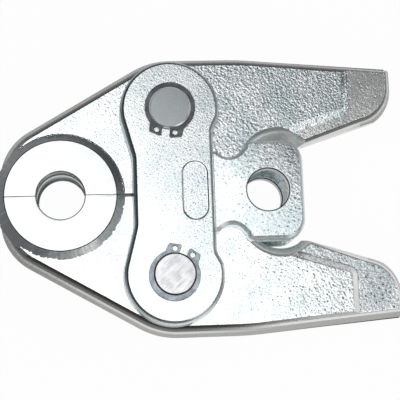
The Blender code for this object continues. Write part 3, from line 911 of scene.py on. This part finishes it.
# the upper pin's end shows its turning rings, the lower one's is brushed
# edge is the chamfer's colour: a painted highlight on the upper pin, painted shade on the lower
pinTones = {
    "upper": {"tone": (0.36, 0.39, 0.40), "bright": (0.47, 0.50, 0.51), "edge": (0.85, 0.86, 0.86),
              "brushed": 0.25},
    "lower": {"tone": (0.46, 0.47, 0.49), "bright": (0.86, 0.87, 0.88), "edge": (0.05, 0.05, 0.05),
              "brushed": 0.95},
}


def groundPin(name, tones, centreY):
    # pin ends: straight brush scratches or fine turning rings
    look = dict(pinLook, **tones)
    f = Finish(name)
    rings = ((f.x ** 2 + (f.y - centreY) ** 2).root() * look["ringsPerMm"]).wave()
    lines = f.noise(look["linesPerMm"], stretch=(look["lineTurn"], look["lineLength"]))
    marks = lines * look["brushed"] + rings * ((1 - look["brushed"]) * look["ringShare"])
    grain = f.noise(look["grain"], rough=0.5)
    tone = marks * look["markTone"] + grain * look["grainTone"]
    colour = f.mix(tone.between(*look["toneSpan"]), look["tone"], look["bright"])
    # the chamfer takes the edge colour: a painted highlight on the upper pin, painted shade on the lower
    colour = f.mix(f.upness().between(*look["faceSpan"]), look["edge"], colour)
    rough = marks * look["markRough"] + look["rough"]
    return f.set(colour=colour, metal=look["metal"], rough=rough, normal=f.bump(marks, look["markDepth"]))


def pinMesh():
    radius, groove = layout["pinRadius"], pin["grooveRadius"]
    foot = pin["ringFoot"] - pin["ringPlay"]
    top = pin["ringFoot"] + pin["ringThick"] + pin["ringPlay"]
    end = top + pin["end"]
    half = [(0, end), (radius - pin["chamfer"], end), (radius, end - pin["chamfer"]), (radius, top),
            (groove, top), (groove, foot), (radius, foot)]
    return brokenEdges(settle(turned("pin", bothEnds(half), count=128)), pin["edgeBreak"])


# retaining rings

ring = {
    "inner": 6.85, "backWidth": 1.95, "frontWidth": 1.25, "gapHalf": 1.35, "edgeBreak": 0.2,
    "lugReach": 9.9, "lugHalf": 2.1, "lugCorner": 0.6, "lugTaper": 0.5, "lugBlend": 0.2, "lugStep": 15,
    "lean": 16.0,
    "holeAside": 3.1, "holeRadius": 0.9, "holeReach": 8.55,
    "turns": {"upper": {"Front": -101, "Rear": -60}, "lower": {"Front": 67, "Rear": 120}},
}
# edge: the ring's walls near black, painted shade that draws a dark outline
ringLook = {
    "edge": (0.03, 0.03, 0.035), "metal": 0.85, "grain": 1.6, "patches": 0.3,
    "patchTone": 0.6, "grainTone": 0.4, "toneSpan": (0.35, 0.68), "faceSpan": (0.90, 0.995),
    "rough": 0.32, "grainRough": 0.2, "grainDepth": 0.03,
}
ringTones = {
    "upper": {"tone": (0.075, 0.082, 0.092), "worn": (0.16, 0.17, 0.19)},
    "lower": {"tone": (0.24, 0.28, 0.32), "worn": (0.50, 0.55, 0.60)},
}


def darkRing(name, tones):
    # phosphated spring steel, oily and a little worn
    look = dict(ringLook, **tones)
    f = Finish(name)
    grain = f.noise(look["grain"])
    patches = f.noise(look["patches"], detail=2.0, rough=0.5)
    tone = patches * look["patchTone"] + grain * look["grainTone"]
    colour = f.mix(tone.between(*look["toneSpan"]), look["tone"], look["worn"])
    # painted shade: the ring's walls near black, a dark outline
    colour = f.mix(f.upness().between(*look["faceSpan"]), look["edge"], colour)
    rough = grain * look["grainRough"] + look["rough"]
    return f.set(colour=colour, metal=look["metal"], rough=rough, normal=f.bump(grain, look["grainDepth"]))


def ringMesh():
    # widest at the back, with a lug on each side of the gap
    middle = ring["inner"] + (ring["backWidth"] + ring["frontWidth"]) / 2
    shift = (ring["frontWidth"] - ring["backWidth"]) / 2
    side = ring["gapHalf"] + 2 * ring["lugHalf"]
    lug = math.degrees(math.asin(side / middle)) + ring["lean"]
    gap = math.degrees(math.asin(ring["gapHalf"] / ring["inner"]))
    inner = arc(0, 0, ring["inner"], 360 - gap, gap)
    upper = rounded([(inner[-1].x, inner[-1].y, 0),
                     (ring["lugReach"], ring["gapHalf"], ring["lugCorner"]),
                     (ring["lugReach"] - ring["lugHalf"] * ring["lugTaper"], side, ring["lugCorner"]),
                     (math.sqrt(middle ** 2 - side ** 2) + shift, side + ring["lugBlend"], 0)],
                    ring["lugStep"])[1:]
    outline = inner + upper + arc(shift, 0, middle, lug, 360 - lug) + mirrored(upper)
    body = slab("ring", outline, pin["ringFoot"], pin["ringFoot"] + pin["ringThick"])
    radius, far = ring["holeRadius"], meshing["through"]
    x = math.sqrt(ring["holeReach"] ** 2 - ring["holeAside"] ** 2)
    for y in (ring["holeAside"], -ring["holeAside"]):
        hole = turned("holeTool", [(0, far), (radius, far), (radius, 0), (0, 0)], count=40)
        cut(body, moved(hole, x, y))
    return brokenEdges(settle(body), ring["edgeBreak"])


pinShape = pinMesh()
ringShape = ringMesh()
for label, rise in (("upper", layout["pinRise"]), ("lower", -layout["pinRise"])):
    lifted = Matrix.Translation((0, rise, 0))
    steel = {"end": groundPin(label + "PinSteel", pinTones[label], rise)}
    piece(label + "Pin", pinShape, lifted, "side_plates", label + "_pivot_pin", steel)
    steel = {"ring": darkRing(label + "RingSteel", ringTones[label])}
    for place, over in (("Front", asDrawn), ("Rear", turnOver)):
        spin = lifted @ Matrix.Rotation(math.radians(ring["turns"][label][place]), 4, "Z") @ over
        node = label + "_" + place.lower() + "_ring"
        piece(label + place + "Ring", ringShape, spin, "side_plates", node, steel)
print("press jaw: pins and rings made")


# return spring

spring = {"reach": 13.0, "radius": 2.75, "wire": 0.55, "turns": 8, "half": 11.15, "perTurn": 36, "around": 14}
springLook = {
    "tone": (0.42, 0.42, 0.41), "worn": (0.30, 0.29, 0.27), "toneSpan": (0.4, 0.65), "metal": 1.0,
    "grain": 2.0, "rough": 0.3, "grainRough": 0.15, "grainDepth": 0.01,
}


def drawnWire(name, look):
    f = Finish(name)
    grain = f.noise(look["grain"], detail=2.0, rough=0.5)
    colour = f.mix(grain.between(*look["toneSpan"]), look["tone"], look["worn"])
    rough = grain * look["grainRough"] + look["rough"]
    return f.set(colour=colour, metal=look["metal"], rough=rough, normal=f.bump(grain, look["grainDepth"]))


def coilPoint(share):
    # closed at both ends, open between, along y
    turn = 2 * math.pi * spring["turns"] * share
    closing = share - math.sin(2 * math.pi * share) / (4 * math.pi)
    return Vector((spring["radius"] * math.cos(turn), spring["half"] * (2 * closing - 1),
                   spring["radius"] * math.sin(turn)))


def springMesh():
    # round wire swept along the coils
    bm = bmesh.new()
    steps, around = spring["turns"] * spring["perTurn"], spring["around"]
    points = [coilPoint(i / steps) for i in range(steps + 1)]
    angles = [2 * math.pi * k / around for k in range(around)]
    loops = []
    for i, p in enumerate(points):
        along = (points[min(i + 1, steps)] - points[max(i - 1, 0)]).normalized()
        out = Vector((p.x, 0, p.z)).normalized()
        out = (out - along * out.dot(along)).normalized()
        other = along.cross(out)
        section = [out * math.cos(a) + other * math.sin(a) for a in angles]
        loops.append([bm.verts.new(p + spoke * spring["wire"]) for spoke in section])
    for first, second in zip(loops, loops[1:]):
        for k in range(around):
            j = (k + 1) % around
            bm.faces.new((first[k], first[j], second[j], second[k]))
    bm.faces.new(loops[0])
    bm.faces.new(loops[-1])
    return settle(solidFrom(bm, "spring"))


springPlace = Matrix.Translation((spring["reach"], 0, 0))
wire = {"wire": drawnWire("springWire", springLook)}
piece("returnSpring", springMesh(), springPlace, "side_plates", "return_spring", wire)
print("press jaw: spring made")


# stage, light and camera

stage = {
    "floorHalf": 3.0, "floorDrop": -0.0002, "floorRough": 0.9, "white": (0.95, 0.95, 0.95),
    "show": 0.96,                        # how much of the floor is shown as plain white
    "world": (0.12, 0.12, 0.12),
}
lamps = [
    # name, where it stands, where it points, turn about its own axis, side, watts
    ("softbox", (-0.33, -0.33, 1.0), (-0.33, -0.33, 0.0), 45.0, 1.44, 9.1),
    ("rightLamp", (1.0, 0.16, 0.66), (0.0, 0.0, 0.0), 0.0, 0.6, 1.7),
    ("lowLamp", (0.86, -1.12, 0.5), (0.0, 0.0, 0.0), 0.0, 0.8, 2.6),
    ("backLamp", (0.15, 1.1, 0.85), (0.0, 0.0, 0.0), 0.0, 0.6, 1.3),
]
camera = {
    "stands": (-0.0318005, -0.0686999, 0.4197924), "lens": 108.0, "sensor": 36.0, "nearest": 0.01,
    "right": (0.99674, -0.03714, 0.0716), "up": (0.02477, 0.98573, 0.1665),
    "back": (-0.07676, -0.16419, 0.98344),
}


def makeFloor():
    bm = bmesh.new()
    bmesh.ops.create_grid(bm, x_segments=2, y_segments=2, size=stage["floorHalf"])
    floor = solidFrom(bm, "studioFloor")
    floor.location.z = stage["floorDrop"]
    pale = Nodes("paleFloor")
    pale.set(colour=stage["white"], rough=stage["floorRough"])
    # what the camera, and mirrors and glass, see directly is white, and the shadow stays
    rays = ("Is Camera Ray", "Is Glossy Ray", "Is Transmission Ray")
    eye, mirrors, glass = pale.node("LightPath", out=rays)
    seen = (eye + mirrors + glass).least(1.0)
    glow = pale.node("Emission", None, {"Strength": 1.0})
    lit = Value(pale, pale.shader.outputs[0])
    mixed = pale.node("MixShader", None, {0: seen * stage["show"], 1: lit, 2: glow})
    pale.feed(pale.tree.nodes["Material Output"].inputs["Surface"], mixed)
    floor.data.materials.append(pale.material)


def makeWorld():
    world = bpy.data.worlds.new("studio")
    bpy.context.scene.world = world
    world.use_nodes = True
    world.node_tree.nodes["Background"].inputs["Color"].default_value = (*stage["world"], 1)


def makeLamps():
    for name, stands, points, turn, side, watts in lamps:
        data = bpy.data.lights.new(name, "AREA")
        data.size = side
        data.energy = watts
        lamp = linked(name, data)
        lamp.location = stands
        aim = (Vector(points) - Vector(stands)).to_track_quat("-Z", "Y").to_matrix()
        lamp.rotation_euler = (aim @ Matrix.Rotation(math.radians(turn), 3, "Z")).to_euler()


def makeCamera():
    data = bpy.data.cameras.new("photoCamera")
    data.lens = camera["lens"]
    data.sensor_width = camera["sensor"]
    data.clip_start = camera["nearest"]
    eye = linked("photoCamera", data)
    turn = Matrix([camera[way] for way in ("right", "up", "back")]).transposed()
    eye.matrix_world = Matrix.Translation(camera["stands"]) @ turn.to_4x4()
    bpy.context.scene.camera = eye


makeFloor()
makeWorld()
makeLamps()
makeCamera()
bpy.context.scene.view_settings.view_transform = "Standard"
print("press jaw: stage, light and camera made")
